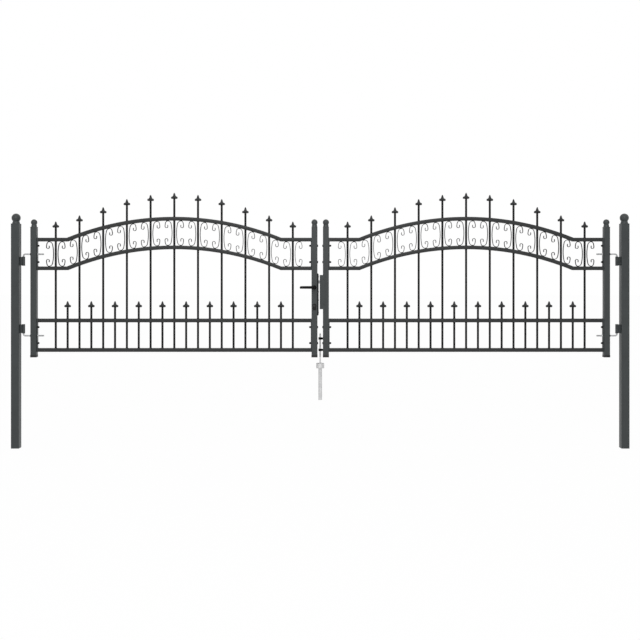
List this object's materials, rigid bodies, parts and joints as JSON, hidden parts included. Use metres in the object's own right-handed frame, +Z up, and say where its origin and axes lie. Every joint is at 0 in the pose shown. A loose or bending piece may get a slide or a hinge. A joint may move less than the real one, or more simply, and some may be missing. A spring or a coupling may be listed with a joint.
{
  "type": "double-leaf driveway gate",
  "caption": "Arched double-leaf tubular steel driveway gate with spear-topped pickets and scrolls on square posts, with lever lock and drop bolt.",
  "frame": {"origin": "middle of the left post's foot, on the face that stands in the ground", "axes": "+X along the gate towards the right post, +Y from the street side to the drive side, +Z up"},
  "size_m": [4.1644, 0.1446, 1.7215],
  "materials": {
    "powder_coat": "fine-textured anthracite powder coat",
    "zinc_plate": "bright zinc plate",
    "black_enamel": "smooth satin black",
    "galvanised": "hot-dip galvanised, faint spangle"
  },
  "bodies": {
    "posts": {"left_post": "powder_coat", "left_upper_hinge_bracket": "powder_coat", "left_lower_hinge_bracket": "powder_coat", "right_post": "powder_coat", "right_upper_hinge_bracket": "powder_coat", "right_lower_hinge_bracket": "powder_coat", "post_caps": "powder_coat", "ground_sleeve": "galvanised"},
    "left_leaf": {"left_hinge_stile": "powder_coat", "left_meeting_stile": "powder_coat", "left_leaf_caps": "powder_coat", "left_panel": "powder_coat", "left_scrolls": "powder_coat", "left_upper_hinge_bolt": "zinc_plate", "left_lower_hinge_bolt": "zinc_plate", "lock_plate": "powder_coat", "lock_cylinder": "black_enamel", "key_escutcheons": "black_enamel"},
    "right_leaf": {"right_hinge_stile": "powder_coat", "right_meeting_stile": "powder_coat", "right_leaf_caps": "powder_coat", "right_panel": "powder_coat", "right_scrolls": "powder_coat", "right_upper_hinge_bolt": "zinc_plate", "right_lower_hinge_bolt": "zinc_plate", "lock_keep": "powder_coat", "drop_bolt_eyes": "black_enamel"},
    "handle": {"lever_spindle": "zinc_plate", "front_lever": "black_enamel", "back_lever": "black_enamel"},
    "latch": {"latch_bolt": "zinc_plate"},
    "drop_bolt": {"drop_bolt_rod": "zinc_plate"}
  },
  "joints": [
    {"name": "left_leaf_swing", "type": "hinge", "parent": "posts", "child": "left_leaf", "pos_m": [0.0505, 0, 1.032], "axis": [0, 0, 1], "range_deg": [0, 90]},
    {"name": "right_leaf_swing", "type": "hinge", "parent": "posts", "child": "right_leaf", "pos_m": [4.0545, 0, 1.032], "axis": [0, 0, -1], "range_deg": [0, 90]},
    {"name": "handle_turn", "type": "hinge", "parent": "left_leaf", "child": "handle", "pos_m": [2.014, 0, 1.083], "axis": [0, -1, 0], "range_deg": [0, 40], "stiffness_Nm_per_rad": 2, "springref_deg": -20.05},
    {"name": "latch_slide", "type": "slide", "parent": "left_leaf", "child": "latch", "axis": [-1, 0, 0], "range_m": [0, 0.0185]},
    {"name": "drop_bolt_lift", "type": "slide", "parent": "right_leaf", "child": "drop_bolt", "axis": [0, 0, 1], "range_m": [0, 0.08]}
  ],
  "couplings": [
    {"joint": "latch_slide", "follows": "handle_turn", "m_per_rad": 0.02649}
  ]
}
